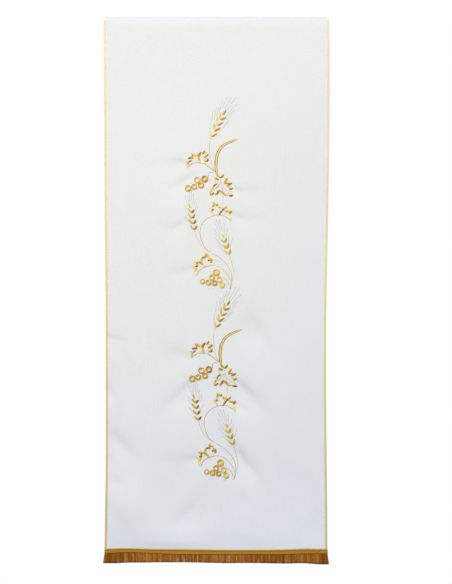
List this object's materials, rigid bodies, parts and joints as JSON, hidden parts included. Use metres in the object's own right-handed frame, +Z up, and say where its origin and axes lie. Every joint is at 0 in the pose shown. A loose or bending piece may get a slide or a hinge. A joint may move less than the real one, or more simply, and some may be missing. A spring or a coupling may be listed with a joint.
{
  "type": "lectern cover",
  "caption": "Long white cloth cover that hangs down the front of a lectern, with wheat and vine embroidery, gold edging, a woven heading and a brush fringe; its top turns back over the support.",
  "frame": {"origin": "middle of the line inside the turned top, where the cover rests on what carries it", "axes": "+Z up, +X to the right as seen from the front, the front faces -Y"},
  "size_m": [0.5035, 0.0295, 1.2145],
  "materials": {
    "white_cloth": "fine plain weave, matt white",
    "gold_tape": "narrow woven gold tape, soft sheen",
    "gold_heading": "woven gold-brown band, fine cross ribs",
    "copper_fringe": "copper-brown cut threads with a silky sheen",
    "gold_thread": "raised satin stitch in gold thread, silky sheen"
  },
  "bodies": {
    "root": {"cloth_panel": "white_cloth", "edging_left": "gold_tape", "edging_right": "gold_tape", "edging_bottom": "gold_tape", "fringe_heading": "gold_heading", "fringe": "copper_fringe"}
  },
  "joints": []
}
